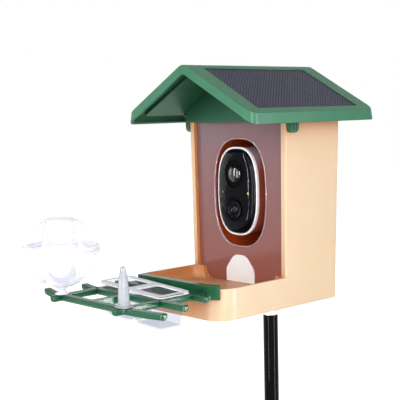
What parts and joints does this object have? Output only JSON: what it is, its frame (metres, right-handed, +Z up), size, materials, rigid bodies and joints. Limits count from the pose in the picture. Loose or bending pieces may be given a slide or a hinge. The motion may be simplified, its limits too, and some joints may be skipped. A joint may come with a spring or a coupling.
{
  "type": "smart bird feeder",
  "caption": "House-shaped bird feeder with a camera, solar roof, seed tray and clip-on perch lattice, on the top section of its pole.",
  "frame": {"origin": "middle of the flat lower end of the pole section's spigot, on the pole's axis", "axes": "+Z up along the pole, -Y out of the front where the tray and the perch are, +X to the right of someone who faces the front"},
  "size_m": [0.1895, 0.3456, 0.4949],
  "materials": {
    "house_plastic": "peach-tan moulded plastic, satin",
    "roof_plastic": "mid green moulded plastic, satin with a fine grain",
    "perch_plastic": "dark green moulded plastic, satin",
    "smoked_panel": "smoky rose-brown transparent sheet, polished",
    "gate_plastic": "off-white moulded plastic, satin",
    "ramp_plastic": "orange-brown moulded plastic, matt",
    "bay_plastic": "deep orange-red moulded plastic, satin",
    "camera_white": "white moulded plastic, semi-gloss",
    "camera_black": "black plastic, high gloss",
    "lens_glass": "coated dark lens, polished",
    "sensor_dome": "dark infra-red window dome, gloss",
    "indicator": "pale yellow light pipe, gloss",
    "circuit_board": "green solder resist",
    "battery_wrap": "blue shrink wrap",
    "black_plastic": "black moulded plastic, matt",
    "black_rubber": "black rubber, matt",
    "solar_cell": "purple-black laminated solar sheet with a fine pattern, gloss",
    "clear_plastic": "clear moulded plastic, polished",
    "steel": "zinc-plated steel",
    "chrome": "polished chrome plate",
    "brass": "plain turned brass",
    "pole_paint": "black gloss powder coat"
  },
  "bodies": {
    "house": {"house_shell": "house_plastic", "base_plate": "house_plastic", "base_screw_1": "steel", "base_screw_2": "steel", "base_screw_3": "steel", "base_screw_4": "steel", "pole_nut": "brass", "pole_head": "chrome", "pole_tube": "pole_paint", "pole_spigot": "steel", "front_panel": "smoked_panel", "seed_ramp": "ramp_plastic", "camera_bay": "bay_plastic", "camera_bezel": "camera_white", "camera_shell": "camera_white", "camera_face": "camera_black", "lens_barrel": "camera_black", "lens_glass": "lens_glass", "motion_dome": "sensor_dome", "motion_sensor": "steel", "status_light": "indicator", "camera_board": "circuit_board", "battery_cradle": "black_plastic", "battery_cell_left": "battery_wrap", "battery_cell_right": "battery_wrap", "speaker": "black_plastic", "camera_insert": "brass", "camera_screw": "black_plastic", "hinge_pin_left": "steel", "hinge_pin_right": "steel"},
    "roof": {"roof_shell": "roof_plastic", "solar_panel_right": "solar_cell", "solar_panel_left": "solar_cell", "lead_grommet_right": "black_rubber", "lead_grommet_left": "black_rubber", "latch_pin_right": "steel", "latch_pin_left": "steel"},
    "right_latch": {"latch_right": "roof_plastic"},
    "left_latch": {"latch_left": "roof_plastic"},
    "gate": {"seed_gate": "gate_plastic"},
    "button": {"power_button": "black_rubber"},
    "plug": {"port_plug": "black_rubber"},
    "perch": {"perch_rail": "perch_plastic", "perch_lattice": "perch_plastic"},
    "cup": {"twin_cup": "clear_plastic"},
    "spike": {"fruit_spike": "clear_plastic"},
    "ball_base": {"ball_lower": "clear_plastic"},
    "ball_lid": {"ball_upper": "clear_plastic"}
  },
  "joints": [
    {"name": "roof_hinge", "type": "hinge", "parent": "house", "child": "roof", "pos_m": [0, 0.0414, 0.431], "axis": [-1, 0, 0], "range_deg": [0, 105]},
    {"name": "latch_right_swing", "type": "hinge", "parent": "roof", "child": "right_latch", "pos_m": [0.0755, -0.0426, 0.4432], "axis": [0, -1, 0], "range_deg": [0, 12], "stiffness_Nm_per_rad": 0.05},
    {"name": "latch_left_swing", "type": "hinge", "parent": "roof", "child": "left_latch", "pos_m": [-0.0755, -0.0426, 0.4432], "axis": [0, 1, 0], "range_deg": [0, 12], "stiffness_Nm_per_rad": 0.05},
    {"name": "gate_slide", "type": "slide", "parent": "house", "child": "gate", "axis": [0, 0, 1], "range_m": [0, 0.014]},
    {"name": "power_button_press", "type": "slide", "parent": "house", "child": "button", "axis": [0, 0, -1], "range_m": [0, 0.0008], "stiffness_N_per_m": 800},
    {"name": "port_plug_hinge", "type": "hinge", "parent": "house", "child": "plug", "pos_m": [0, -0.0089, 0.3179], "axis": [1, 0, 0], "range_deg": [0, 70]},
    {"name": "perch_lift", "type": "slide", "parent": "house", "child": "perch", "axis": [0, 0, 1], "range_m": [0, 0.016]},
    {"name": "cup_lift", "type": "slide", "parent": "perch", "child": "cup", "axis": [0, 0, 1], "range_m": [0, 0.036]},
    {"name": "spike_pull", "type": "slide", "parent": "perch", "child": "spike", "axis": [0, 0, 1], "range_m": [0, 0.01]},
    {"name": "ball_pull", "type": "slide", "parent": "perch", "child": "ball_base", "axis": [0, 0, 1], "range_m": [0, 0.01]},
    {"name": "ball_open", "type": "slide", "parent": "ball_base", "child": "ball_lid", "axis": [0, 0, 1], "range_m": [0, 0.04]}
  ]
}
